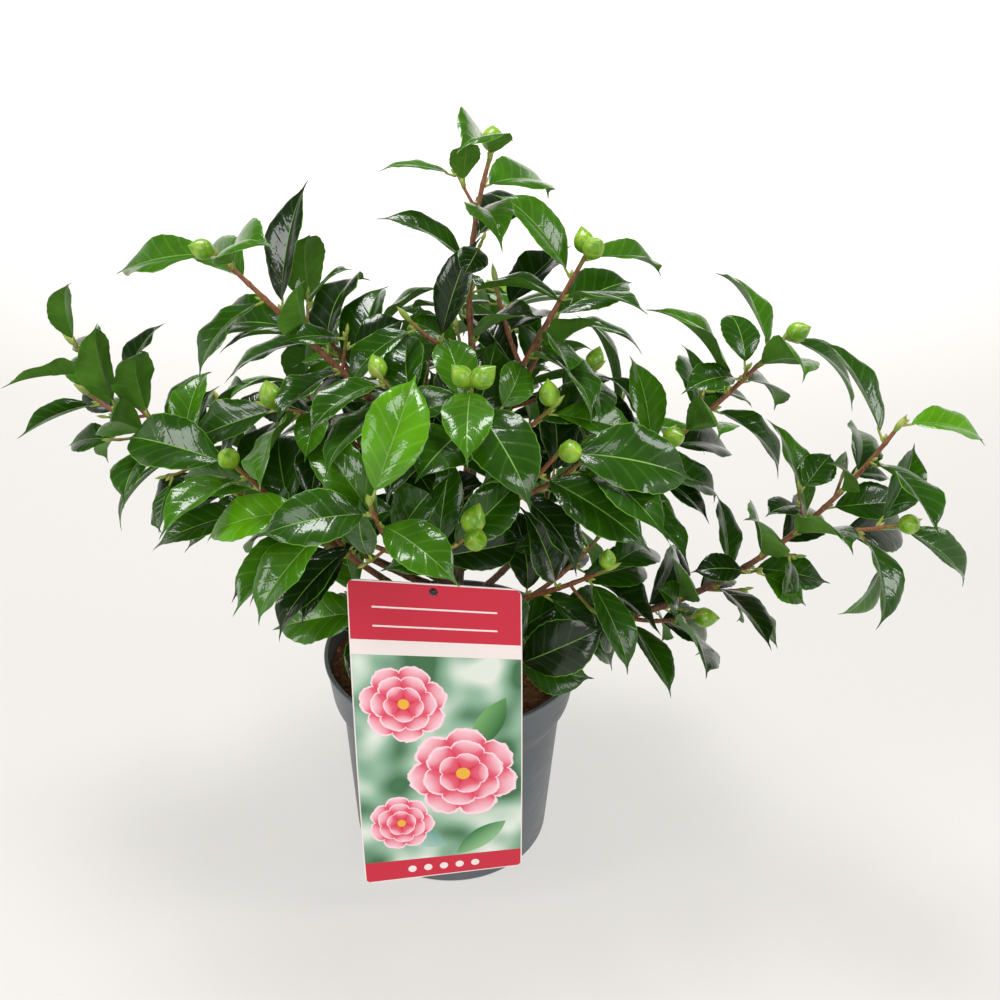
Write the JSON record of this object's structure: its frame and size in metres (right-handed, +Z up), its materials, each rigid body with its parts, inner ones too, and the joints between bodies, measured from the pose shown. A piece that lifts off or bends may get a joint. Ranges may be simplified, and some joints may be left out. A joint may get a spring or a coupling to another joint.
{
  "type": "camellia shrub",
  "caption": "Young evergreen camellia with glossy leaves and green flower buds on spreading boughs, in a round nursery pot with a picture label.",
  "frame": {"origin": "centre of the pot's flat underside", "axes": "+Z up the trunk, -Y towards the front of the pot where the label hangs, +X to the right along the widest spread"},
  "size_m": [0.5669, 0.3347, 0.4817],
  "materials": {
    "pot": "satin anthracite moulded plastic",
    "soil": "loose brown peat and coir",
    "label": "printed card with a gloss coat",
    "stake": "black moulded plastic",
    "trunk_bark": "grey-brown bark",
    "bough_bark": "red-brown young bark",
    "foliage": "glossy dark green leaves"
  },
  "bodies": {
    "root": {"pot": "pot", "soil": "soil", "label": "label", "label_stake": "stake", "trunk": "trunk_bark", "bough_top_right": "bough_bark", "bough_upper_left": "bough_bark", "bough_left": "bough_bark", "bough_left_front": "bough_bark", "bough_low_left": "bough_bark", "bough_front": "bough_bark", "bough_centre": "bough_bark", "bough_right_front": "bough_bark", "bough_right_upper": "bough_bark", "bough_right_lower": "bough_bark", "bough_front_left": "bough_bark", "bough_front_right": "bough_bark", "bough_upper_right": "bough_bark", "bough_upper_back": "bough_bark", "bough_low_right": "bough_bark", "bough_back_left": "bough_bark", "bough_back": "bough_bark", "bough_back_right": "bough_bark", "leaves_top": "foliage", "leaves_top_right": "foliage", "leaves_upper_left": "foliage", "leaves_left": "foliage", "leaves_left_front": "foliage", "leaves_low_left": "foliage", "leaves_front": "foliage", "leaves_centre": "foliage", "leaves_right_front": "foliage", "leaves_right_upper": "foliage", "leaves_right_lower": "foliage", "leaves_front_left": "foliage", "leaves_front_right": "foliage", "leaves_upper_right": "foliage", "leaves_upper_back": "foliage", "leaves_low_right": "foliage", "leaves_back_left": "foliage", "leaves_back": "foliage", "leaves_back_right": "foliage"}
  },
  "joints": []
}
